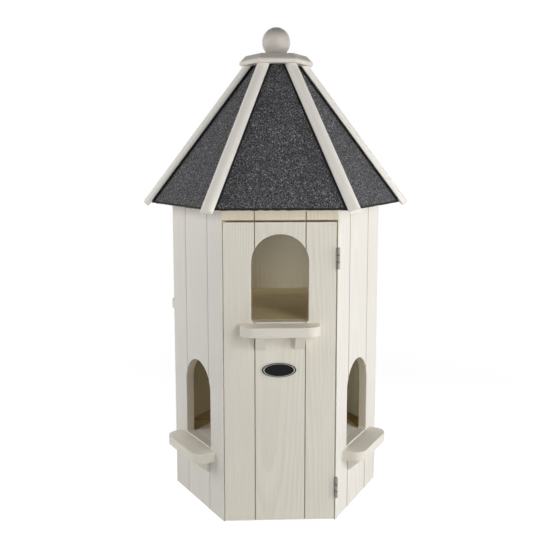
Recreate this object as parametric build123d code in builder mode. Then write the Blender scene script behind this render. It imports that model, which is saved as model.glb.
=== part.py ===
# Six-sided wooden dovecote: five fixed walls and a full-height door with a pigeon opening in each,
# two floors, landings on brackets, and a felted roof with hip battens, a cap and a ball.
# Millimetres, +Z up. The origin is on the ground, on the upright axis of the body. The door faces -Y.

import os
from math import atan, cos, degrees, radians, sin, sqrt, tan

from build123d import *

# body
wall_width = 230.0  # outside, corner to corner, so it is also the radius to the corners
wall_thickness = 18.0
board_joint_place = 51.0  # middle of a wall to each of its two board joints
board_joint_width = 3.0
board_joint_depth = 1.6

# pigeon openings
opening_width = 115.0
opening_height = 177.0
opening_foot_radius = 5.0
opening_edge = 1.0  # chamfer around the outside of an opening
lower_sill_height = 139.5
storey_height = 281.0  # lower sill to upper sill

# floors
floor_thickness = 18.0
floor_gap = 0.3
floor_behind_door = 5.0

# landings and their brackets
landing_width = 160.0
landing_depth = 44.0
landing_thickness = 20.0
landing_corner = 28.0
landing_edge = 1.5
landing_below_sill = 2.0
bracket_thickness = 20.0
bracket_height = 33.0
bracket_reach = 35.0
bracket_nose = 3.0  # blunt end of the bracket's two thin corners
bracket_place = 39.5  # middle of a wall to the middle of a bracket

# door
door_over_opening = 24.5
door_foot_gap = 3.0
door_head_gap = 3.0
door_latch_gap = 2.0
door_hinge_gap = 2.5
ledge_width = 150.0
ledge_height = 32.0
ledge_thickness = 12.0
ledge_below_floor = 30.0
name_plate_width = 69.0
name_plate_height = 29.0
name_plate_thickness = 1.6
name_plate_rim = 1.4
name_plate_rim_rise = 0.6
name_plate_below_sill = 98.5
name_plate_shift = -1.8

# hinges
hinge_height = 42.0
lower_hinge_inset = 69.5  # foot of the door to the middle of the hinge
upper_hinge_inset = 73.0  # head of the door to the middle of the hinge
leaf_thickness = 1.0
leaf_reach = 15.0
leaf_clearance = 0.6  # a leaf's edge to the turning knuckle
knuckle_diameter = 6.0
knuckle_standoff = 4.0
knuckle_gap = 0.6
hinge_pin_diameter = 2.6
hinge_pin_clearance = 0.1
hinge_pin_head = 4.4
hinge_pin_head_height = 1.2

# roof
eave_overhang = 47.0  # corner of the walls to corner of the felt, level
eave_over_header = 24.0  # foot of the header to the felt's edge
roof_rise = 366.0  # felt's edge to where the slopes would meet
felt_thickness = 2.0
felt_over_board = 3.0
roof_board_thickness = 9.0
batten_width = 26.0
batten_thickness = 14.0  # at the crown
batten_side = 4.5  # upright part of each side, below the crown
batten_overhang = 9.0
seat_gap = 0.3

# cap and ball
cap_seat_radius = 53.5  # corners of the felt under the cap
cap_radius = 80.0
cap_edge_height = 7.5
cap_bevel_height = 13.5
cap_bevel_angle = 41.0  # from upright
ball_width = 61.0
ball_height = 64.5  # if it were whole: its foot is cut flat
ball_foot_width = 25.0

cut_overrun = 2.0

mitre_angle = 30.0
apothem = wall_width * cos(radians(mitre_angle))
inner_apothem = apothem - wall_thickness
upper_sill_height = lower_sill_height + storey_height
door_head_height = upper_sill_height + opening_height + door_over_opening
header_foot_height = door_head_height + door_head_gap
eave_height = header_foot_height + eave_over_header
eave_radius = wall_width + eave_overhang
eave_apothem = eave_radius * cos(radians(mitre_angle))
roof_peak_height = eave_height + roof_rise
slope_angle = degrees(atan(roof_rise / eave_apothem))
hip_angle = degrees(atan(roof_rise / eave_radius))
cap_foot_height = roof_peak_height - cap_seat_radius * tan(radians(hip_angle))
hinge_centres = (door_foot_gap + lower_hinge_inset, door_head_height - upper_hinge_inset)

# each side by the bearing of the way it faces
bearings = {
    "front": -90.0,
    "front_right": -30.0,
    "back_right": 30.0,
    "back": 90.0,
    "back_left": 150.0,
    "front_left": 210.0,
}
upper_sides = ("back_right", "back_left")
lower_sides = ("front_left", "front_right", "back")
sill_heights = {side: upper_sill_height for side in upper_sides}
sill_heights |= {side: lower_sill_height for side in lower_sides}


def bearing_point(radius, bearing, height=0.0):
    return radius * cos(radians(bearing)), radius * sin(radians(bearing)), height


def facing_plane(bearing, distance, height=0.0):
    # upright, facing outwards: x runs to the right as seen from outside, y runs up
    x_way = (-sin(radians(bearing)), cos(radians(bearing)), 0)
    return Plane(bearing_point(distance, bearing, height), x_dir=x_way, z_dir=bearing_point(1, bearing))


def plan_plane(bearing, distance, height=0.0):
    # level: x as in facing_plane, y runs inwards
    x_way = (-sin(radians(bearing)), cos(radians(bearing)), 0)
    return Plane(bearing_point(distance, bearing, height), x_dir=x_way, z_dir=(0, 0, 1))


def section_plane(bearing, distance, height=0.0):
    # upright, square to a wall: x runs outwards, y runs up
    return Plane(
        bearing_point(distance, bearing, height),
        x_dir=bearing_point(1, bearing),
        z_dir=bearing_point(1, bearing - 90),
    )


def roof_plane(bearing, lift=0.0):
    # on the slope, from the middle of the eave: x as in facing_plane, y runs up the slope
    x_way = (-sin(radians(bearing)), cos(radians(bearing)), 0)
    out, up = sin(radians(slope_angle)), cos(radians(slope_angle))
    normal = (out * cos(radians(bearing)), out * sin(radians(bearing)), up)
    return Plane(bearing_point(eave_apothem, bearing, eave_height), x_dir=x_way, z_dir=normal).offset(lift)


def hip_plane(bearing, along=0.0):
    # square to a hip at the eave's corner: y runs out of the roof, z runs up the hip
    back, up = cos(radians(hip_angle)), sin(radians(hip_angle))
    up_hip = (-back * cos(radians(bearing)), -back * sin(radians(bearing)), up)
    x_way = (sin(radians(bearing)), -cos(radians(bearing)), 0)
    return Plane(bearing_point(eave_radius, bearing, eave_height), x_dir=x_way, z_dir=up_hip).offset(along)


def add_opening(panel, bearing, sill_height):
    # round-headed opening through a panel, with a chamfer around its outside
    arch_radius = opening_width / 2
    straight = opening_height - arch_radius
    with BuildSketch(facing_plane(bearing, apothem)) as arch:
        with Locations((0, sill_height + straight / 2)):
            Rectangle(opening_width, straight)
        fillet(arch.vertices().group_by(Axis.Y)[0], opening_foot_radius)
        with Locations((0, sill_height + straight)):
            Circle(arch_radius)
    extrude(arch.sketch, amount=-wall_thickness - cut_overrun, mode=Mode.SUBTRACT)
    outwards = Axis((0, 0, 0), bearing_point(1, bearing))
    outer_face = panel.faces().sort_by(outwards)[-1]
    chamfer(outer_face.inner_wires().edges(), opening_edge)


def add_board_joints(bearing, foot_height):
    # V joints between the three boards of a panel, on its outside
    with BuildSketch(plan_plane(bearing, apothem, foot_height)) as joints:
        for place in (-board_joint_place, board_joint_place):
            with BuildLine():
                Polyline(
                    (place - board_joint_width / 2, 0),
                    (place, board_joint_depth),
                    (place + board_joint_width / 2, 0),
                    close=True,
                )
            make_face()
    extrude(joints.sketch, amount=roof_peak_height, mode=Mode.SUBTRACT)


def make_wall(bearing, foot_height, sill_height=None):
    # mitred panel that runs up to the underside of the roof boards
    inner_radius = inner_apothem / cos(radians(mitre_angle))
    with BuildPart() as panel:
        with BuildSketch(Plane.XY.offset(foot_height)):
            with BuildLine():
                Polyline(
                    bearing_point(wall_width, bearing - mitre_angle)[:2],
                    bearing_point(wall_width, bearing + mitre_angle)[:2],
                    bearing_point(inner_radius, bearing + mitre_angle)[:2],
                    bearing_point(inner_radius, bearing - mitre_angle)[:2],
                    close=True,
                )
            make_face()
        extrude(amount=roof_peak_height - foot_height)
        under_boards = roof_plane(bearing, -felt_thickness - roof_board_thickness)
        split(bisect_by=under_boards, keep=Keep.BOTTOM)
        if sill_height is not None:
            add_opening(panel, bearing, sill_height)
        add_board_joints(bearing, foot_height)
    return panel


def make_landing(bearing, sill_height):
    with BuildPart() as landing:
        with BuildSketch(plan_plane(bearing, apothem, sill_height - landing_below_sill)) as outline:
            with Locations((0, -landing_depth / 2)):
                Rectangle(landing_width, landing_depth)
            fillet(outline.vertices().group_by(Axis.Y)[0], landing_corner)
        extrude(amount=-landing_thickness)
        outwards = Axis((0, 0, 0), bearing_point(1, bearing))
        rim = landing.edges().group_by(Axis.Z)
        wall_side = landing.faces().sort_by(outwards)[0].edges()
        fillet((rim[0] + rim[-1]) - wall_side, landing_edge)
    return landing


def make_brackets(sides):
    # two wedge brackets under the landing of each side named
    with BuildPart() as brackets:
        for bearing, sill_height in sides:
            top = sill_height - landing_below_sill - landing_thickness
            for place in (-bracket_place, bracket_place):
                with BuildSketch(section_plane(bearing, apothem, top).offset(place)):
                    with BuildLine():
                        Polyline(
                            (0, 0),
                            (bracket_reach, 0),
                            (bracket_reach, -bracket_nose),
                            (bracket_nose, -bracket_height),
                            (0, -bracket_height),
                            close=True,
                        )
                    make_face()
        extrude(amount=bracket_thickness / 2, both=True)
    return brackets


def make_floor(top_height):
    # fits inside the walls, and stops short of the door
    floor_radius = (inner_apothem - floor_gap) / cos(radians(mitre_angle))
    with BuildPart() as floor:
        with BuildSketch(Plane.XY.offset(top_height)):
            RegularPolygon(floor_radius, 6)
        extrude(amount=-floor_thickness)
        front_edge = facing_plane(bearings["front"], inner_apothem - floor_behind_door)
        split(bisect_by=front_edge, keep=Keep.BOTTOM)
    return floor


def make_roof_layer(bearing, lift, thickness, eave_setback):
    # one slope of one layer, cut along the hips and level under the cap
    slope_length = eave_apothem / cos(radians(slope_angle))
    with BuildPart() as layer:
        with BuildSketch(roof_plane(bearing, lift)):
            with Locations((0, (eave_setback + slope_length) / 2)):
                Rectangle(2 * eave_radius, slope_length - eave_setback)
        extrude(amount=-thickness)
        for turn in (-mitre_angle, mitre_angle):
            outer_way = 90 if turn > 0 else -90
            hip_cut = Plane((0, 0, 0), z_dir=bearing_point(1, bearing + turn + outer_way))
            split(bisect_by=hip_cut, keep=Keep.BOTTOM)
        split(bisect_by=Plane.XY.offset(cap_foot_height), keep=Keep.BOTTOM)
    return layer


def make_batten(bearing):
    # flat underneath, with a round crown
    side_top = seat_gap + batten_side
    with BuildPart() as batten:
        with BuildSketch(hip_plane(bearing, -batten_overhang)):
            with BuildLine():
                Polyline(
                    (batten_width / 2, side_top),
                    (batten_width / 2, seat_gap),
                    (-batten_width / 2, seat_gap),
                    (-batten_width / 2, side_top),
                )
                ThreePointArc(
                    (-batten_width / 2, side_top),
                    (0, seat_gap + batten_thickness),
                    (batten_width / 2, side_top),
                )
            make_face()
        extrude(amount=sqrt(roof_rise**2 + eave_radius**2))
        split(bisect_by=Plane.XY.offset(cap_foot_height - seat_gap), keep=Keep.BOTTOM)
    return batten


def make_door():
    mitre_run = wall_thickness * tan(radians(mitre_angle))
    latch_edge = -wall_width / 2 + door_latch_gap / cos(radians(mitre_angle))
    hinge_edge = wall_width / 2 - door_hinge_gap / cos(radians(mitre_angle))
    with BuildPart() as door:
        with BuildSketch(plan_plane(bearings["front"], apothem, door_foot_gap)):
            with BuildLine():
                Polyline(
                    (latch_edge, 0),
                    (hinge_edge, 0),
                    (hinge_edge - mitre_run, wall_thickness),
                    (latch_edge + mitre_run, wall_thickness),
                    close=True,
                )
            make_face()
        extrude(amount=door_head_height - door_foot_gap)
        add_opening(door, bearings["front"], upper_sill_height)
        add_board_joints(bearings["front"], 0)
    return door


def make_ledges():
    # two boards across the back of the door, clear of both floors
    with BuildPart() as ledges:
        for sill_height in (lower_sill_height, upper_sill_height):
            centre = sill_height - floor_thickness - ledge_below_floor - ledge_height / 2
            with BuildSketch(facing_plane(bearings["front"], inner_apothem, centre)):
                Rectangle(ledge_width, ledge_height)
        extrude(amount=-ledge_thickness)
    return ledges


def make_name_plate():
    # blank oval plate with a raised rim
    centre = upper_sill_height - name_plate_below_sill
    with BuildPart() as plate:
        with BuildSketch(facing_plane(bearings["front"], apothem, centre)):
            with Locations((name_plate_shift, 0)):
                Ellipse(name_plate_width / 2, name_plate_height / 2)
        extrude(amount=name_plate_thickness + name_plate_rim_rise)
        with BuildSketch(facing_plane(bearings["front"], apothem + name_plate_thickness, centre)):
            with Locations((name_plate_shift, 0)):
                Ellipse(name_plate_width / 2 - name_plate_rim, name_plate_height / 2 - name_plate_rim)
        extrude(amount=name_plate_rim_rise, mode=Mode.SUBTRACT)
    return plate


def hinge_frame(height):
    # level, on the hinge's own axis: x runs out along the corner's mitre, y runs to the door
    corner = bearing_point(wall_width, bearings["front"] + mitre_angle)
    outwards = bearing_point(1, bearings["front"] + mitre_angle)
    to_door = bearing_point(1, bearings["front"] + mitre_angle - 90)
    origin = tuple(
        corner[i] + knuckle_standoff * outwards[i] + door_hinge_gap / 2 * to_door[i] for i in range(2)
    )
    return Plane((*origin, height), x_dir=outwards, z_dir=(0, 0, -1))


def make_hinge_leaves(knuckles, door_side):
    # leaves of both hinges: a plate in the corner gap, with the knuckles numbered from the foot
    knuckle_height = (hinge_height - 2 * knuckle_gap) / 3
    far_face = door_hinge_gap / 2 * door_side
    leaf_middle = far_face - leaf_thickness / 2 * door_side
    plate_start = -knuckle_diameter / 2 - leaf_clearance
    plate_length = leaf_reach + knuckle_standoff + plate_start
    with BuildPart() as leaves:
        for centre in hinge_centres:
            foot_height = centre - hinge_height / 2
            with BuildSketch(hinge_frame(foot_height)):
                with Locations((plate_start - plate_length / 2, leaf_middle)):
                    Rectangle(plate_length, leaf_thickness)
            extrude(amount=-hinge_height)
            for number in knuckles:
                start = foot_height + number * (knuckle_height + knuckle_gap)
                with BuildSketch(hinge_frame(start)):
                    with Locations((plate_start / 2, leaf_middle)):
                        Rectangle(-plate_start, leaf_thickness)
                    Circle(knuckle_diameter / 2)
                    Circle(hinge_pin_diameter / 2 + hinge_pin_clearance, mode=Mode.SUBTRACT)
                extrude(amount=-knuckle_height)
    return leaves


def make_hinge_pins():
    with BuildPart() as pins:
        for centre in hinge_centres:
            with BuildSketch(hinge_frame(centre - hinge_height / 2)):
                Circle(hinge_pin_diameter / 2)
            extrude(amount=-hinge_height)
            with BuildSketch(hinge_frame(centre + hinge_height / 2)):
                Circle(hinge_pin_head / 2)
            extrude(amount=-hinge_pin_head_height)
    return pins


def make_cap():
    with BuildPart() as cap:
        with BuildSketch(Plane.XY.offset(cap_foot_height)):
            RegularPolygon(cap_radius, 6)
        extrude(amount=cap_edge_height)
        extrude(cap.faces().sort_by(Axis.Z)[-1], amount=cap_bevel_height, taper=cap_bevel_angle)
    return cap


def make_ball():
    # turned, a little taller than a sphere, on a flat foot
    foot_height = cap_foot_height + cap_edge_height + cap_bevel_height
    foot_below_middle = ball_height / 2 * sqrt(1 - (ball_foot_width / ball_width) ** 2)
    with BuildPart() as ball:
        with BuildSketch(Plane.XZ):
            with Locations((0, foot_height + foot_below_middle)):
                Ellipse(ball_width / 2, ball_height / 2)
            split(bisect_by=Plane.YZ, keep=Keep.TOP)
        revolve(axis=Axis.Z)
        split(bisect_by=Plane.XY.offset(foot_height), keep=Keep.TOP)
    return ball


pieces = {"front_header": make_wall(bearings["front"], header_foot_height)}
for side, sill in sill_heights.items():
    pieces[f"{side}_wall"] = make_wall(bearings[side], 0, sill)
    pieces[f"{side}_landing"] = make_landing(bearings[side], sill)
pieces["upper_landing_brackets"] = make_brackets([(bearings[side], upper_sill_height) for side in upper_sides])
pieces["lower_landing_brackets"] = make_brackets([(bearings[side], lower_sill_height) for side in lower_sides])
pieces["upper_floor"] = make_floor(upper_sill_height)
pieces["lower_floor"] = make_floor(lower_sill_height)

for side, way in bearings.items():
    pieces[f"{side}_roof_felt"] = make_roof_layer(way, 0, felt_thickness, 0)
    pieces[f"{side}_roof_board"] = make_roof_layer(
        way, -felt_thickness, roof_board_thickness, felt_over_board
    )
hips = {"front_right": -60, "right": 0, "back_right": 60, "back_left": 120, "left": 180, "front_left": 240}
for side, way in hips.items():
    pieces[f"{side}_hip_batten"] = make_batten(way)
pieces["roof_cap"] = make_cap()
pieces["finial_ball"] = make_ball()

pieces["door_panel"] = make_door()
pieces["door_ledges"] = make_ledges()
pieces["door_landing"] = make_landing(bearings["front"], upper_sill_height)
pieces["door_landing_brackets"] = make_brackets([(bearings["front"], upper_sill_height)])
pieces["name_plate"] = make_name_plate()
pieces["house_hinge_leaves"] = make_hinge_leaves((0, 2), -1)
pieces["door_hinge_leaves"] = make_hinge_leaves((1,), 1)
pieces["hinge_pins"] = make_hinge_pins()

os.makedirs("parts", exist_ok=True)
for name, piece in pieces.items():
    piece.part.label = name
    export_step(piece.part, f"parts/{name}.step")
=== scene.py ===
from math import atan2, cos, degrees, hypot, radians, sin

import bpy
import numpy as np
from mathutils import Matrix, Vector


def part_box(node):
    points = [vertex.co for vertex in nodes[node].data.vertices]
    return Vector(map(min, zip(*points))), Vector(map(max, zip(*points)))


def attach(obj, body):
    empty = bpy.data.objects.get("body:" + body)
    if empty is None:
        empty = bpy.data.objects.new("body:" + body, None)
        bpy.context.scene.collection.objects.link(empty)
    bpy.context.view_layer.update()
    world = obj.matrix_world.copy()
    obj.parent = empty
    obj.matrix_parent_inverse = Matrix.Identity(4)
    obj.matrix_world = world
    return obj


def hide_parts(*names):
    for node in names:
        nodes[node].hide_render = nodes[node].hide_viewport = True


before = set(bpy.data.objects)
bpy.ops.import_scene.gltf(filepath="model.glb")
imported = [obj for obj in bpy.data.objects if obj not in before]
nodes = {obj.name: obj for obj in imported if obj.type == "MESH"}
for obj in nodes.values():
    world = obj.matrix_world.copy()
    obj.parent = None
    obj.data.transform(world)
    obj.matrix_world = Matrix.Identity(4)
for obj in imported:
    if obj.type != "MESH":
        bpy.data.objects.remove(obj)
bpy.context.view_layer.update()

scene = bpy.context.scene

# the way each side faces, in degrees from +X
bearings = {
    "front": -90,
    "front_right": -30,
    "back_right": 30,
    "back": 90,
    "back_left": 150,
    "front_left": 210,
}
hips = {"front_right": -60, "right": 0, "back_right": 60, "back_left": 120, "left": 180, "front_left": 240}


def nodePoints(name):
    mesh = nodes[name].data
    points = np.empty(len(mesh.vertices) * 3)
    mesh.vertices.foreach_get("co", points)
    return points.reshape(-1, 3)


# measures that the finishes go by, taken from the frame
backLow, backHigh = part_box("back_wall")
wallWidth = backHigh.x - backLow.x
wallFace = backHigh.y                      # axis to the outside of a wall
wallThickness = backHigh.y - backLow.y
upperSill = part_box("upper_floor")[1].z
floorReach = wallFace - wallThickness      # axis to the inside of a wall
jointPlace = 0.051                         # from the middle of a wall to its board joints
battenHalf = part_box("right_hip_batten")[1].y
gapHeight = (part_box("door_panel")[1].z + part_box("front_header")[0].z) / 2      # of the gap over the door
hingeParting = wallWidth * 1.5             # a height between the two hinges
doorLeaf = nodePoints("door_hinge_leaves")
lowLeaf = doorLeaf[doorLeaf[:, 2] < hingeParting, 2]
highLeaf = doorLeaf[doorLeaf[:, 2] > hingeParting, 2]
hingeMiddles = [float(leaf.min() + leaf.max()) / 2 for leaf in (lowLeaf, highLeaf)]
knuckleBreak = float(lowLeaf.max() - lowLeaf.min()) / 6      # from a hinge's middle to a break
hipPoints = nodePoints("front_roof_felt")  # a hip runs from its furthest corner up to its highest
eavePoint = hipPoints[np.argmax(np.hypot(hipPoints[:, 0], hipPoints[:, 1]))]
eaveHeight = float(eavePoint[2])
crownPoint = hipPoints[np.argmax(hipPoints[:, 2])]
hipRun = hypot(eavePoint[0], eavePoint[1]) - hypot(crownPoint[0], crownPoint[1])
hipSlope = degrees(atan2(crownPoint[2] - eavePoint[2], hipRun))


def addNode(tree, kind, inputs=None, **settings):
    node = tree.nodes.new(kind)
    for key, value in settings.items():
        setattr(node, key, value)
    for key, value in (inputs or {}).items():
        if isinstance(value, bpy.types.NodeSocket):
            tree.links.new(value, node.inputs[key])
        else:
            node.inputs[key].default_value = value
    return node


def math2(tree, operation, first, second=0.0, third=0.0, clamp=False):
    values = {0: first, 1: second, 2: third}
    return addNode(tree, "ShaderNodeMath", values, operation=operation, use_clamp=clamp).outputs[0]


def blendColor(tree, factor, first, second, mode="MIX"):
    colors = {0: factor, 6: first, 7: second}
    return addNode(tree, "ShaderNodeMix", colors, data_type="RGBA", blend_type=mode).outputs[2]


def rampUp(tree, value, low, high):
    # 0 at low, 1 at high, smooth in between; low may be the greater of the two
    limits = {0: value, 1: low, 2: high}
    return addNode(tree, "ShaderNodeMapRange", limits, interpolation_type="SMOOTHSTEP").outputs[0]


def around(tree, value, width, middle=0.0):
    # 0..1 becomes half the width to either side of the middle
    return math2(tree, "MULTIPLY_ADD", value, width, middle - width / 2)


def vectorMath(tree, operation, first, second, output="Vector"):
    return addNode(tree, "ShaderNodeVectorMath", {0: first, 1: second}, operation=operation).outputs[output]


def stretched(tree, vector, scale):
    return vectorMath(tree, "MULTIPLY", vector, scale)


def parts(tree, vector):
    return addNode(tree, "ShaderNodeSeparateXYZ", {0: vector}).outputs


def channels(tree, color):
    return addNode(tree, "ShaderNodeSeparateColor", {0: color}).outputs


def grey(tree, value):
    return addNode(tree, "ShaderNodeCombineColor", {0: value, 1: value, 2: value}).outputs[0]


def objectPlace(tree):
    return addNode(tree, "ShaderNodeTexCoord").outputs["Object"]


def facesUp(tree):
    normal = addNode(tree, "ShaderNodeNewGeometry").outputs["True Normal"]
    return math2(tree, "GREATER_THAN", parts(tree, normal)[2], 0.5)


def noise(tree, vector, scale, detail, roughness):
    values = {"Vector": vector, "Scale": scale, "Detail": detail, "Roughness": roughness}
    return addNode(tree, "ShaderNodeTexNoise", values).outputs[0]


def relief(tree, shader, height, strength, distance):
    bump = addNode(tree, "ShaderNodeBump", {"Strength": strength, "Distance": distance, "Height": height})
    tree.links.new(bump.outputs[0], shader.inputs["Normal"])


def newMaterial(name):
    material = bpy.data.materials.new(name)
    material.use_nodes = True
    tree = material.node_tree
    return material, tree, tree.nodes["Principled BSDF"]


pine = {
    "wallWash": (0.80, 0.775, 0.73, 1),     # thin off-white paint
    "warmWash": (0.80, 0.765, 0.68, 1),     # the same paint over yellower boards
    "topLitWash": (0.90, 0.855, 0.76, 1),      # tops of the landings: the same wash paler, as painted light from above
    "headerWash": (0.91, 0.82, 0.67, 1),    # the short board over the door, warmer still
    "floorWashAndLight": (0.86, 0.83, 0.75, 1),     # lower floor, as far as a brush reached through the openings, partly painted light that falls in through them
    "thinWash": (0.62, 0.57, 0.46, 1),      # where late wood shows through it
    "revealWash": (0.60, 0.52, 0.39, 1),    # sawn edges of the openings, which show through the paint
    "battenWash": (0.96, 0.925, 0.86, 1),   # the battens' wash, the whitest
    "ballWash": (0.725, 0.675, 0.63, 1),    # beech, which stays greyer
    "capWash": (0.91, 0.85, 0.785, 1),
    "topShade": (0.30, 0.28, 0.26, 1),       # painted shade on the tops of the ball and the cap's bevel
    "insideWashAndLight": (0.97, 0.93, 0.79, 1),    # upper chamber, paler than the lower, partly painted light
    "insideBare": (0.66, 0.58, 0.39, 1),    # lower chamber
    "insideShaded": (0.34, 0.28, 0.17, 1),    # the same wood darker, as painted shade, on the left at the back
    "insideLit": (0.96, 0.95, 0.80, 1),    # and much paler, as painted light, on the right at the back
    "bare": (0.84, 0.72, 0.45, 1),          # upper floor and ledges
    "shadedBare": (0.36, 0.29, 0.13, 1),       # lower floor: bare pine made darker, as painted shade
    "bareLate": (0.66, 0.48, 0.24, 1),      # late wood where there is no paint
    "litGapPine": (0.98, 0.80, 0.56, 1),       # sawn edges at the sides of the door, never painted, and paler than bare pine as painted light in the gap
    # dirt in the board joints, and painted shade in the gap over the door
    "jointDirtAndGapShade": (0.24, 0.155, 0.08, 1),
    "jointOffset": 0.0004,                  # from jointPlace to the middle of the groove
    "jointHalf": 0.0015,                    # half the width of the dirt in a board joint
    "jointDepth": 0.0022,
    "gapHalf": 0.0028,                      # half the width of the painted shade in the gap over the door
    "gapDepth": 0.003,
    "doorEdge": 0.104,                      # from the middle of the front to the unpainted edges
    "coatDepth": (0.0005, 0.003),           # in from a wall's face, where the full coat gives out
    "innerFace": (0.9, 0.995),              # shares of a wall's thickness, where its inner face begins
    "bareAndShadedStrip": 0.044,                     # width left bare along a closed wall of the lower floor, partly painted shade
    "brushWander": 0.012,                   # how far the edge of that paint wanders
    "showThrough": 0.5,                     # how much late wood shows through the paint
    "showBare": 0.6,                        # and on bare wood
    "showInside": 0.25,                     # and on the inner faces of the walls
    "edgeCover": 0.8,                       # how far a sawn edge takes its own colour
    "sillCover": 0.2,                       # and how far a sill does
    "dirtAndShadeCover": 0.9,
    "cloud": 0.08,                          # change of tone from place to place
    "roughness": 0.56,
    "relief": 0.35,
    "reliefDepth": 0.0004,
}

boardGrain = {
    "ringPitch": 0.0038,                    # from one growth ring to the next
    "pithAside": 0.36,                      # the pith lies anywhere in this width behind a board
    "pithBehind": 0.026,                    # at least this far behind it
    "pithFurther": 0.05,                    # and up to this much further
    "lean": 0.05,                           # out of parallel with the board
    "wander": 0.02,
    "curl": 0.009,                          # of the grain round knots
    "fibres": 330,                          # noise scales, across the grain
    "clouds": 16,
}


def makeGrainGroup():
    # the tree's axis runs along z. A ring's number is the distance from a pith line behind the board, divided by
    # the pitch. The pith line wanders and leans, which draws arches on flat-sawn boards and stripes on others.
    # Each board has its own pith, from white noise on its number.
    group = bpy.data.node_groups.new("grain", "ShaderNodeTree")
    for label, kind in {"Vector": "Vector", "Board": "Float", "Ring Pitch": "Float"}.items():
        group.interface.new_socket(name=label, in_out="INPUT", socket_type=f"NodeSocket{kind}")
    for label in ("Rings", "Fibres", "Cloud"):
        group.interface.new_socket(name=label, in_out="OUTPUT", socket_type="NodeSocketFloat")
    given = group.nodes.new("NodeGroupInput").outputs
    result = group.nodes.new("NodeGroupOutput").inputs
    luck = addNode(group, "ShaderNodeTexWhiteNoise", {"W": given["Board"]}, noise_dimensions="1D").outputs["Color"]
    chance = channels(group, luck)
    shift = vectorMath(group, "MULTIPLY", luck, (3.1, 2.3, 5.7))
    moved = vectorMath(group, "ADD", given["Vector"], shift)
    across, depth, along = parts(group, given["Vector"])
    wander = noise(group, stretched(group, moved, (6, 6, 2.2)), 1.0, 1.0, 0.4)
    curl = noise(group, stretched(group, moved, (34, 34, 17)), 1.0, 1.0, 0.5)
    curly = rampUp(group, noise(group, stretched(group, moved, (7, 7, 4)), 1.0, 0.0, 0.5), 0.42, 0.62)
    fromPith = math2(group, "ADD", across, around(group, chance[0], boardGrain["pithAside"]))
    fromPith = math2(group, "ADD", fromPith, around(group, wander, boardGrain["wander"]))
    curl = math2(group, "MULTIPLY", curly, around(group, curl, boardGrain["curl"]))
    fromPith = math2(group, "ADD", fromPith, curl)
    lean = math2(group, "MULTIPLY", along, around(group, chance[2], boardGrain["lean"]))
    behind = math2(group, "MULTIPLY_ADD", chance[1], boardGrain["pithFurther"], boardGrain["pithBehind"])
    behind = math2(group, "ADD", behind, math2(group, "ADD", depth, lean))
    behind = math2(group, "ADD", behind, math2(group, "MULTIPLY", wander, boardGrain["wander"] * 0.8))
    behindSquare = math2(group, "MULTIPLY", behind, behind)
    radius = math2(group, "SQRT", math2(group, "MULTIPLY_ADD", fromPith, fromPith, behindSquare))
    part = math2(group, "FRACT", math2(group, "DIVIDE", radius, given["Ring Pitch"]))
    # each ring darkens slowly and ends quickly
    late = math2(group, "MULTIPLY", rampUp(group, part, 0.15, 0.8), rampUp(group, part, 1.0, 0.88))
    fine = noise(group, stretched(group, moved, (1, 1, 0.03)), boardGrain["fibres"], 3.0, 0.7)
    cloud = noise(group, stretched(group, moved, (1, 1, 0.35)), boardGrain["clouds"], 3.0, 0.55)
    group.links.new(late, result["Rings"])
    group.links.new(fine, result["Fibres"])
    group.links.new(cloud, result["Cloud"])
    return group


grainGroup = makeGrainGroup()


def paintedWall(tree, color, shows, along, depth, height, inside, gapAbove):
    # by how far in from a wall's outside a place is: sawn edges are thinly painted, the sills more, the edges at the
    # sides of the door not at all and paler, as painted light in the gap, and the inside hardly at all
    inward = math2(tree, "ADD", depth, wallFace)
    cover = math2(tree, "MULTIPLY_ADD", facesUp(tree), pine["sillCover"] - pine["edgeCover"], pine["edgeCover"])
    edge = math2(tree, "MULTIPLY", rampUp(tree, inward, *pine["coatDepth"]), cover)
    # painted light: the edges beside the door take a pale pine that lightens the gap
    beside = rampUp(tree, math2(tree, "ABSOLUTE", along), pine["doorEdge"] - 0.004, pine["doorEdge"])
    color = blendColor(tree, edge, color, blendColor(tree, beside, pine["revealWash"], pine["litGapPine"]))
    # the upper chamber's inner faces are paler, partly as painted light
    upstairs = math2(tree, "GREATER_THAN", height, upperSill)
    innerFace = blendColor(tree, upstairs, pine[inside], pine["insideWashAndLight"])
    innerFace = blendColor(tree, math2(tree, "MULTIPLY", shows, pine["showInside"]), innerFace, pine["bareLate"])
    reached = rampUp(tree, inward, *(share * wallThickness for share in pine["innerFace"]))
    color = blendColor(tree, reached, color, innerFace)
    # dirt in the two board joints, and painted shade in the gap over the door
    aside = math2(tree, "SUBTRACT", along, math2(tree, "MULTIPLY", math2(tree, "SIGN", along), jointPlace))
    offset = math2(tree, "ABSOLUTE", math2(tree, "SUBTRACT", aside, pine["jointOffset"]))
    shallow = rampUp(tree, inward, pine["jointDepth"], pine["jointDepth"] - 0.0006)
    dirtAndShade = math2(tree, "MULTIPLY", rampUp(tree, offset, pine["jointHalf"], pine["jointHalf"] - 0.001), shallow)
    # painted shade: the gap over the door darkened along its length
    if gapAbove:
        offset = math2(tree, "ABSOLUTE", math2(tree, "SUBTRACT", height, gapHeight))
        shallow = rampUp(tree, inward, pine["gapDepth"], pine["gapDepth"] - 0.001)
        doorGapShade = math2(tree, "MULTIPLY", rampUp(tree, offset, pine["gapHalf"], pine["gapHalf"] - 0.001), shallow)
        dirtAndShade = math2(tree, "MAXIMUM", dirtAndShade, doorGapShade)
    return blendColor(tree, math2(tree, "MULTIPLY", dirtAndShade, pine["dirtAndShadeCover"]), color, pine["jointDirtAndGapShade"])


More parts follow.
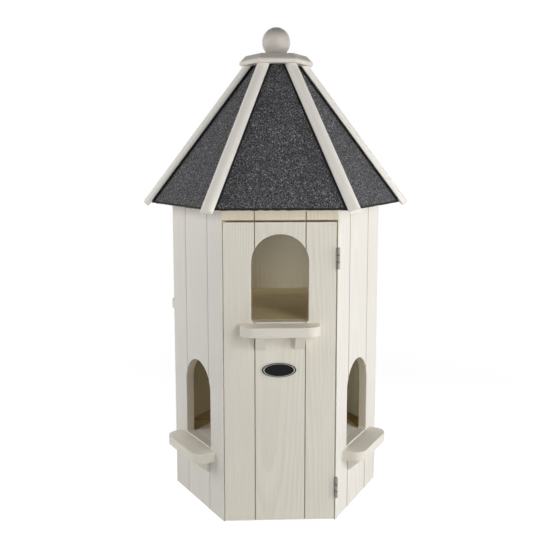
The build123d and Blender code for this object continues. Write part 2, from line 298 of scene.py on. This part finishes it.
def floorPaintAndLight(tree, color, place, closed):
    # paint as far as a brush reached through the openings, and partly painted light falling in through them. Bare
    # wood, darker as painted shade, is left along the closed walls, so the paint ends at the same distance from the
    # axis towards each of them
    bareFrom = floorReach - pine["bareAndShadedStrip"]
    reach = -1.0
    for bearing in closed:
        towards = (cos(radians(bearing)), sin(radians(bearing)), 0.0)
        reach = math2(tree, "MAXIMUM", vectorMath(tree, "DOT_PRODUCT", place, towards, "Value"), reach)
    reach = math2(tree, "MULTIPLY_ADD", noise(tree, place, 22, 2.0, 0.6), pine["brushWander"], reach)
    return blendColor(tree, rampUp(tree, reach, bareFrom, bareFrom + 0.004), pine["floorWashAndLight"], color)


def makePine(name, wash="wallWash", bearing=-90, lay="upright", board=0.0, joints=False, slope=90,
             gloss=0.0, shine=0.25, show=1.0, inside="insideBare", top=None, closed=(), dustyAndShaded=None):
    # lay: upright for boards on end, flat for level pieces along a side, across for boards laid level on the roof
    # board: a number of the piece's own, which picks its grain. joints: it is three boards wide
    # slope: degrees from level that the grain of an upright piece runs up at, for the hip battens
    # gloss: how much smoother than a brushed coat. shine: the specular level
    # show: how much of the grain comes through the paint. top: another, paler wash for what faces up, as painted light
    # inside: the wood of a wall's inner face in the lower chamber
    # closed: the bearings of the walls that have no opening at a floor's level
    # the painted shade on top: the heights where it starts and is full, and how much there is
    material, tree, shader = newMaterial(name)
    place = objectPlace(tree)
    spin = {"Vector": place, "Angle": radians(-90 - bearing)}
    turned = addNode(tree, "ShaderNodeVectorRotate", spin, rotation_type="Z_AXIS").outputs[0]
    if slope != 90:
        tilt = {"Vector": turned, "Angle": radians(90 - slope)}
        turned = addNode(tree, "ShaderNodeVectorRotate", tilt, rotation_type="X_AXIS").outputs[0]
    along, depth, height = parts(tree, turned)
    order = {"upright": (along, depth, height), "flat": (depth, height, along), "across": (height, depth, along)}[lay]
    vector = addNode(tree, "ShaderNodeCombineXYZ", dict(enumerate(order))).outputs[0]
    number = board + 0.31 * bearing
    if joints:
        first = math2(tree, "GREATER_THAN", along, -jointPlace)
        second = math2(tree, "GREATER_THAN", along, jointPlace)
        number = math2(tree, "ADD", math2(tree, "ADD", first, second), number)
    given = {"Vector": vector, "Board": number, "Ring Pitch": boardGrain["ringPitch"]}
    grain = addNode(tree, "ShaderNodeGroup", given, node_tree=grainGroup).outputs
    # late wood, stronger in some places than in others, and fine fibres
    fibres = rampUp(tree, grain["Fibres"], 0.3, 0.7)
    shows = math2(tree, "MULTIPLY", grain["Rings"], math2(tree, "MULTIPLY_ADD", grain["Cloud"], 1.2, -0.05))
    shows = math2(tree, "MULTIPLY_ADD", fibres, 0.45, math2(tree, "MULTIPLY", shows, 0.8))
    if wash in ("bare", "shadedBare"):
        color = blendColor(tree, math2(tree, "MULTIPLY", shows, pine["showBare"]), pine[wash], pine["bareLate"])
    else:
        # painted light: what faces up takes the paler top wash
        coat = blendColor(tree, facesUp(tree), pine[wash], pine[top]) if top else pine[wash]
        through = math2(tree, "MULTIPLY", shows, pine["showThrough"] * show, clamp=True)
        color = blendColor(tree, through, coat, pine["thinWash"])
    if closed:
        color = floorPaintAndLight(tree, color, place, closed)
    # painted shade: darker from the first height up to the second
    if dustyAndShaded:
        shadeStart, shadeFull, amount = dustyAndShaded
        topShading = math2(tree, "MULTIPLY_ADD", grain["Cloud"], 0.4 * amount, 0.8 * amount)
        dustAndShade = math2(tree, "MULTIPLY", rampUp(tree, height, shadeStart, shadeFull), topShading)
        color = blendColor(tree, dustAndShade, color, pine["topShade"])
    color = blendColor(tree, 1.0, color, grey(tree, around(tree, grain["Cloud"], pine["cloud"], 1.0)), "MULTIPLY")
    if joints:
        color = paintedWall(tree, color, shows, along, depth, height, inside, bearing == bearings["front"])
    tree.links.new(color, shader.inputs["Base Color"])
    shader.inputs["Specular IOR Level"].default_value = shine
    tree.links.new(math2(tree, "MULTIPLY_ADD", shows, -0.12, pine["roughness"] - gloss), shader.inputs["Roughness"])
    raised = math2(tree, "MULTIPLY_ADD", fibres, -0.4, math2(tree, "MULTIPLY", grain["Rings"], 0.6))
    relief(tree, shader, raised, pine["relief"] * show, pine["reliefDepth"])
    return material


zinc = {
    "dull": (0.11, 0.095, 0.08, 1),
    "bright": (0.40, 0.36, 0.33, 1),
    # dark, for the painted shade in the breaks
    "dirtAndShade": (0.03, 0.025, 0.02, 1),
    "breakShadeHalf": (0.0016, 0.0004),          # half the width of the painted shade in a break, and of its darkest part
    "metallic": 0.7,
}


def makeZinc():
    # dull zinc, with painted shade in the breaks between a hinge's knuckles
    material, tree, shader = newMaterial("dullZinc")
    place = objectPlace(tree)
    patches = noise(tree, place, 260, 3.0, 0.6)
    color = blendColor(tree, patches, zinc["dull"], zinc["bright"])
    height = parts(tree, place)[2]
    for middle in hingeMiddles:
        offset = math2(tree, "ABSOLUTE", math2(tree, "SUBTRACT", height, middle))
        ring = math2(tree, "ABSOLUTE", math2(tree, "SUBTRACT", offset, knuckleBreak))
        color = blendColor(tree, rampUp(tree, ring, *zinc["breakShadeHalf"]), color, zinc["dirtAndShade"])
    tree.links.new(color, shader.inputs["Base Color"])
    shader.inputs["Metallic"].default_value = zinc["metallic"]
    tree.links.new(math2(tree, "MULTIPLY_ADD", patches, 0.3, 0.3), shader.inputs["Roughness"])
    return material


plate = {
    "darkest": (0.004, 0.004, 0.005, 1),
    "dustyAndShaded": (0.014, 0.014, 0.015, 1),
    "line": (0.48, 0.47, 0.45, 1),         # the plain line round it
    "lineInner": 0.85,                     # where that runs, as shares of the way out to the edge
    "lineOuter": 0.94,
    "lineSoft": 0.02,
    "specular": 0.1,
}


def makeEnamel():
    # black, with an oval line: the distance from the middle, as a share of the way to the edge
    material, tree, shader = newMaterial("blackEnamel")
    place = objectPlace(tree)
    low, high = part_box("name_plate")
    middle, half = (low + high) / 2, (high - low) / 2
    fromMiddle = vectorMath(tree, "SUBTRACT", place, middle)
    shares = stretched(tree, fromMiddle, (1 / half.x, 0, 1 / half.z))
    radius = addNode(tree, "ShaderNodeVectorMath", {0: shares}, operation="LENGTH").outputs["Value"]
    inner = rampUp(tree, radius, plate["lineInner"], plate["lineInner"] + plate["lineSoft"])
    outer = rampUp(tree, radius, plate["lineOuter"], plate["lineOuter"] - plate["lineSoft"])
    line = math2(tree, "MULTIPLY", inner, outer)
    dustAndShade = noise(tree, place, 220, 3.0, 0.6)
    black = blendColor(tree, dustAndShade, plate["darkest"], plate["dustyAndShaded"])
    tree.links.new(blendColor(tree, line, black, plate["line"]), shader.inputs["Base Color"])
    tree.links.new(math2(tree, "MULTIPLY_ADD", dustAndShade, 0.15, 0.4), shader.inputs["Roughness"])
    shader.inputs["Specular IOR Level"].default_value = plate["specular"]
    return material


def paintNode(name, material):
    mesh = nodes[name].data
    mesh.materials.clear()
    mesh.materials.append(material)


innerWood = {"back_left": "insideShaded", "back_right": "insideLit"}      # walls whose inner faces are made darker and paler, as painted shade and painted light
for side, bearing in bearings.items():
    if side != "front":
        wood = innerWood.get(side, "insideBare")
        paintNode(f"{side}_wall", makePine(f"wallWash_{side}", bearing=bearing, joints=True, show=0.7, inside=wood))
        landing = makePine(f"landingWash_{side}", "warmWash", bearing, "flat", board=5, gloss=0.1, top="topLitWash")
        paintNode(f"{side}_landing", landing)
    paintNode(f"{side}_roof_board", makePine(f"boardWash_{side}", "warmWash", bearing, "across", board=9))
paintNode("front_header", makePine("headerWash", "headerWash", joints=True, board=13))
paintNode("door_panel", makePine("doorWash", "warmWash", joints=True, board=21, show=0.85))
paintNode("door_landing", makePine("doorLandingWash", "warmWash", lay="flat", board=27, gloss=0.1, top="topLitWash"))
paintNode("door_ledges", makePine("ledgePine", "bare", lay="flat", board=29))
paintNode("upper_floor", makePine("upperFloorPine", "bare", lay="flat", board=33))
closedBelow = [bearings[side] for side in ("front", "back_right", "back_left")]
paintNode("lower_floor", makePine("lowerFloorPine", "shadedBare", lay="flat", board=35, closed=closedBelow))
bracketWash = makePine("bracketWash", "warmWash", board=23)
for name in ("door_landing_brackets", "upper_landing_brackets", "lower_landing_brackets"):
    paintNode(name, bracketWash)
capLow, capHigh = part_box("roof_cap")
capBevel = capLow.z + 0.45 * (capHigh.z - capLow.z)      # height at which its bevel starts
# painted shade on the cap's bevel and on the ball's upper half
capTopShade = (capBevel, capBevel + 0.002, 0.56)
paintNode("roof_cap", makePine("capWash", "capWash", lay="flat", board=37, gloss=0.08, shine=0.12, dustyAndShaded=capTopShade))
ballLow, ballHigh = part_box("finial_ball")
ballTopShade = ((ballLow.z + ballHigh.z) / 2 + 0.004, ballHigh.z, 0.9)
paintNode("finial_ball", makePine("ballWash", "ballWash", lay="flat", board=41, gloss=0.38, shine=0.2, dustyAndShaded=ballTopShade))
for side, bearing in hips.items():
    batten = makePine(f"battenWash_{side}", "battenWash", bearing, board=31, slope=hipSlope, show=0.3)
    paintNode(f"{side}_hip_batten", batten)
hingeZinc = makeZinc()
for name in ("house_hinge_leaves", "door_hinge_leaves", "hinge_pins"):
    paintNode(name, hingeZinc)
paintNode("name_plate", makeEnamel())
print("finishes: done")


felt = {
    "columns": 161,
    "rows": 61,
    "thickness": 0.0018,
    "wave": 0.0006,                        # how far the sheet lifts off its board
    "ragged": 0.0011,                      # unevenness of the cut edge at the eave
    "sag": 0.0012,                         # droop of that edge
    "seed": 11,
    "granules": 950.0,                     # Voronoi cells in a metre, about
    "crystals": 600.0,                     # the same for the quartz
    "rarity": 0.966,                       # share of those cells that stay slate
    "contrast": 3.5,                       # the higher, the fewer the pale granules
    "blotches": 0.4,                       # change of tone from place to place
    "dark": (0.016, 0.0155, 0.018, 1),
    "pale": (0.66, 0.65, 0.695, 1),
    "quartz": (0.95, 0.94, 0.97, 1),
    # black: bitumen at the cut edge, and painted shade along the battens and under the eave
    "bitumenAndShade": (0.008, 0.008, 0.008, 1),
    "battenShadeLine": 0.0008,                  # width of the black line beside a batten, painted shade of the gap under it
    "cutEdge": (0.004, 0.002),             # heights over the eave, between which it begins
    "hipShade": 0.82,                      # painted shade beside a batten
    "openShade": 1.02,                     # and further out than shadeWidth
    "shadeWidth": 0.008,
    "dome": 630.0,                         # the higher, the rounder the granules
    "granuleHeight": 0.0007,
    "relief": 0.7,
    "specular": 0.25,
    "sheen": 0.08,
}


def makeFelt(name):
    # slate granules rolled into bitumen: each cell of a Voronoi pattern is one granule with its own tone, and a
    # coarser one puts bright quartz here and there
    material, tree, shader = newMaterial(name)
    place = objectPlace(tree)
    granule = addNode(tree, "ShaderNodeTexVoronoi", {"Vector": place, "Scale": felt["granules"]}).outputs
    tone = channels(tree, granule["Color"])
    color = blendColor(tree, math2(tree, "POWER", tone[0], felt["contrast"]), felt["dark"], felt["pale"])
    crystal = addNode(tree, "ShaderNodeTexVoronoi", {"Vector": place, "Scale": felt["crystals"]}).outputs["Color"]
    bright = rampUp(tree, channels(tree, crystal)[1], felt["rarity"], felt["rarity"] + 0.01)
    color = blendColor(tree, bright, color, felt["quartz"])
    broad = around(tree, noise(tree, place, 14, 2.0, 0.5), felt["blotches"], 1.0)
    color = blendColor(tree, 1.0, color, grey(tree, broad), "MULTIPLY")
    # painted shade beside the battens, and a black line of painted shade along them: the distance from the nearest of
    # the three planes that hold the hips
    x, y, z = parts(tree, place)
    fromHip = 1.0
    for turn in (0, 60, 120):
        offset = math2(tree, "MULTIPLY_ADD", x, sin(radians(turn)), math2(tree, "MULTIPLY", y, -cos(radians(turn))))
        fromHip = math2(tree, "MINIMUM", math2(tree, "ABSOLUTE", offset), fromHip)
    clear = rampUp(tree, fromHip, battenHalf, battenHalf + felt["shadeWidth"])
    shade = math2(tree, "MULTIPLY_ADD", clear, felt["openShade"] - felt["hipShade"], felt["hipShade"])
    color = blendColor(tree, 1.0, color, grey(tree, shade), "MULTIPLY")
    battenShadeMask = rampUp(tree, fromHip, battenHalf + felt["battenShadeLine"], battenHalf)
    # and where the sheet is cut, at the eave: black, partly bitumen and partly painted shade under the edge
    cut = rampUp(tree, z, *(eaveHeight + rise for rise in felt["cutEdge"]))
    color = blendColor(tree, math2(tree, "MAXIMUM", battenShadeMask, cut), color, felt["bitumenAndShade"])
    tree.links.new(color, shader.inputs["Base Color"])
    tree.links.new(math2(tree, "MULTIPLY_ADD", tone[2], 0.3, 0.55), shader.inputs["Roughness"])
    shader.inputs["Specular IOR Level"].default_value = felt["specular"]
    shader.inputs["Sheen Weight"].default_value = felt["sheen"]
    raised = math2(tree, "MULTIPLY_ADD", granule["Distance"], -felt["dome"], tone[2])
    relief(tree, shader, raised, felt["relief"], felt["granuleHeight"])
    return material


def meshFromGrids(name, top, bottom):
    # a closed sheet from two grids of points: their quads, and a strip that joins their four borders
    rows, columns = top.shape[:2]
    index = np.arange(rows * columns).reshape(rows, columns)
    quads = np.stack([index[:-1, :-1], index[:-1, 1:], index[1:, 1:], index[1:, :-1]], -1).reshape(-1, 4)
    border = np.concatenate([index[0, :-1], index[:-1, -1], index[-1, :0:-1], index[:0:-1, 0]])
    following = np.roll(border, -1)
    below = rows * columns
    strip = np.stack([border + below, following + below, following, border], -1)
    faces = np.concatenate([quads, quads[:, ::-1] + below, strip])
    points = np.concatenate([top.reshape(-1, 3), bottom.reshape(-1, 3)])
    mesh = bpy.data.meshes.new(name)
    mesh.from_pydata(points.tolist(), [], faces.tolist())
    mesh.validate()
    piece = bpy.data.objects.new(name, mesh)
    scene.collection.objects.link(piece)
    return piece


def turnAbout(points, bearing):
    # each point's x and y turned about the upright axis: x cos - y sin, x sin + y cos
    turn = radians(bearing)
    matrix = np.array([[cos(turn), -sin(turn), 0], [sin(turn), cos(turn), 0], [0, 0, 1]])
    return points @ matrix.T


def waves(rng, across, up, count, low, high):
    # the mean of several sine waves of random direction and phase
    total = np.zeros_like(across)
    for _ in range(count):
        total += np.sin(across * rng.uniform(low, high) + up * rng.uniform(-high, high) + rng.uniform(0, 6.3))
    return total / count


def makeFeltSheet(side, bearing, rng):
    # a trapezoid between eave and cap: the eave's corner plus the way up the slope, and across it the half width
    # that shrinks evenly from eave to cap. Waves lift it square to the board, and at the eave move its cut edge
    # along the slope and let it droop. across runs -1..1, up 0..1.
    points = turnAbout(nodePoints(f"{side}_roof_felt"), -90 - bearing)
    eaveCorner = points[np.argmax(points[:, 0])]
    level = points[points[:, 2] > points[:, 2].max() - 1e-5]
    topCorner = level[np.argmax(level[:, 0])]
    across, up = np.meshgrid(np.linspace(-1, 1, felt["columns"]), np.linspace(0, 1, felt["rows"]))
    edge = (1 - across**2) * np.sin(up * np.pi) ** 0.5
    slope = topCorner - eaveCorner
    slope[0] = 0
    length = np.linalg.norm(slope)
    slope /= length
    normal = np.array([0, -slope[2], slope[1]])
    normal *= np.sign(normal[2])
    half = (1 - up) * eaveCorner[0] + up * topCorner[0]
    top = np.stack([across * half, np.zeros_like(up), np.zeros_like(up)], -1)
    top += np.array([0, eaveCorner[1], eaveCorner[2]]) + (up * length)[..., None] * slope
    lift = felt["wave"] * waves(rng, across * 3, up * 3, 6, 1, 4) * edge
    cut = felt["ragged"] * waves(rng, across * 6, up * 0, 7, 1, 8) * np.clip(1 - up * 12, 0, 1)
    sag = felt["sag"] * np.clip(1 - up * 22, 0, 1) ** 2
    top += (lift - sag)[..., None] * normal + cut[..., None] * slope
    bottom = top - normal * felt["thickness"]
    return meshFromGrids(f"felt_{side}", turnAbout(top, 90 + bearing), turnAbout(bottom, 90 + bearing))


rng = np.random.default_rng(felt["seed"])
feltFinish = makeFelt("mineralFelt")
for side, bearing in bearings.items():
    sheet = makeFeltSheet(side, bearing, rng)
    sheet.data.materials.append(feltFinish)
    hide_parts(f"{side}_roof_felt")
    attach(sheet, "house")
print("felt: done")


studio = {
    "floorReach": 12.0,
    "floorFade": (0.5, 1.3),               # distances between which the floor turns plain white
    "floorColor": (0.86, 0.86, 0.86, 1),
    "floorGlow": 0.72,                     # seen by the camera only, which keeps the floor pale
    "overhead": 0.02,                      # how bright the room is above, round the sides and behind
    "sides": 0.04,
    "behind": 0.12,
    "aim": (0, 0, 0.45),                   # what the lamps point at
}

# turn: degrees from straight in front, to the right. Distance is level, from the axis
lamps = {
    "rightNear": {"turn": 68, "distance": 1.25, "height": 0.5, "size": 0.8, "power": 7.5},
    "leftNear": {"turn": -88, "distance": 1.25, "height": 0.5, "size": 0.8, "power": 1.4},
    "leftHigh": {"turn": -75, "distance": 1.8, "height": 1.3, "size": 0.8, "power": 10.4},
    "leftBack": {"turn": -108, "distance": 1.6, "height": 0.95, "size": 0.8, "power": 4.0},
    "frontRight": {"turn": 24, "distance": 2.0, "height": 0.68, "size": 0.45, "power": 5.7},
    "frontRightHigh": {"turn": 30, "distance": 2.0, "height": 1.4, "size": 0.6, "power": 9.0},
    "frontLeft": {"turn": -15, "distance": 2.2, "height": 0.8, "size": 0.7, "power": 4.4},
}


def makeFloor():
    mesh = bpy.data.meshes.new("studioFloor")
    reach = studio["floorReach"]
    corners = [(-reach, -reach, 0), (reach, -reach, 0), (reach, reach, 0), (-reach, reach, 0)]
    mesh.from_pydata(corners, [], [(0, 1, 2, 3)])
    floor = bpy.data.objects.new("studioFloor", mesh)
    scene.collection.objects.link(floor)
    material, tree, shader = newMaterial("paleFloor")
    shader.inputs["Base Color"].default_value = studio["floorColor"]
    shader.inputs["Roughness"].default_value = 0.9
    shader.inputs["Specular IOR Level"].default_value = 0.1
    place = objectPlace(tree)
    distance = addNode(tree, "ShaderNodeVectorMath", {0: place}, operation="LENGTH").outputs["Value"]
    rays = addNode(tree, "ShaderNodeLightPath").outputs
    seen = math2(tree, "MAXIMUM", rays["Is Camera Ray"], rays["Is Glossy Ray"])
    glow = addNode(tree, "ShaderNodeEmission", {"Strength": studio["floorGlow"]}).outputs[0]
    white = addNode(tree, "ShaderNodeEmission", {"Strength": 1.0}).outputs[0]
    near = addNode(tree, "ShaderNodeAddShader", {0: shader.outputs[0], 1: glow}).outputs[0]
    # the floor with the object's shadow near it, and plain white further off
    away = rampUp(tree, distance, *studio["floorFade"])
    faded = addNode(tree, "ShaderNodeMixShader", {0: away, 1: near, 2: white}).outputs[0]
    shown = addNode(tree, "ShaderNodeMixShader", {0: seen, 1: shader.outputs[0], 2: faded}).outputs[0]
    tree.links.new(shown, tree.nodes["Material Output"].inputs["Surface"])
    mesh.materials.append(material)


def makeWorld():
    # a pale room: a bright backdrop behind, dimmer round the sides and overhead
    world = bpy.data.worlds.new("studioWorld")
    scene.world = world
    world.use_nodes = True
    tree = world.node_tree
    background = tree.nodes["Background"]
    direction = addNode(tree, "ShaderNodeTexCoord").outputs["Generated"]
    across, depth, height = parts(tree, direction)
    overhead = rampUp(tree, height, 0.15, 0.6)
    light = math2(tree, "MULTIPLY_ADD", overhead, studio["overhead"] - studio["sides"], studio["sides"])
    backdrop = math2(tree, "MULTIPLY", rampUp(tree, depth, 0.1, 0.5), rampUp(tree, height, 0.7, 0.35))
    light = math2(tree, "MULTIPLY_ADD", backdrop, studio["behind"], light)
    rays = addNode(tree, "ShaderNodeLightPath").outputs
    mirrored = math2(tree, "MAXIMUM", rays["Is Glossy Ray"], rays["Is Transmission Ray"])
    seen = math2(tree, "MAXIMUM", rays["Is Camera Ray"], mirrored)
    # white where it is seen or mirrored
    strength = math2(tree, "MULTIPLY_ADD", light, math2(tree, "SUBTRACT", 1.0, seen), seen)
    background.inputs["Color"].default_value = (1, 1, 1, 1)
    tree.links.new(strength, background.inputs["Strength"])


def addSoftbox(name, turn, distance, height, size, power):
    light = bpy.data.lights.new(name, "AREA")
    light.shape = "SQUARE"
    light.size, light.energy = size, power
    lamp = bpy.data.objects.new(name, light)
    scene.collection.objects.link(lamp)
    lamp.location = (distance * sin(radians(turn)), -distance * cos(radians(turn)), height)
    lamp.rotation_euler = (Vector(studio["aim"]) - lamp.location).to_track_quat("-Z", "Y").to_euler()


view = {
    "lens": 48.48,
    "shift": -0.0545,
    "place": (-0.0651, -1.6499, 0.757),
    "down": 7.099,                         # degrees below level
    "turn": -2.173,                        # degrees to the left of straight back
}


def addCamera():
    lens = bpy.data.cameras.new("camera")
    lens.sensor_width = 36
    lens.lens = view["lens"]
    lens.shift_y = view["shift"]
    camera = bpy.data.objects.new("camera", lens)
    camera.location = view["place"]
    camera.rotation_euler = (radians(90 - view["down"]), 0, radians(view["turn"]))
    scene.collection.objects.link(camera)
    scene.camera = camera


makeFloor()
makeWorld()
for name, lamp in lamps.items():
    addSoftbox(name, **lamp)
addCamera()
scene.view_settings.view_transform = "Standard"
print("studio: done")
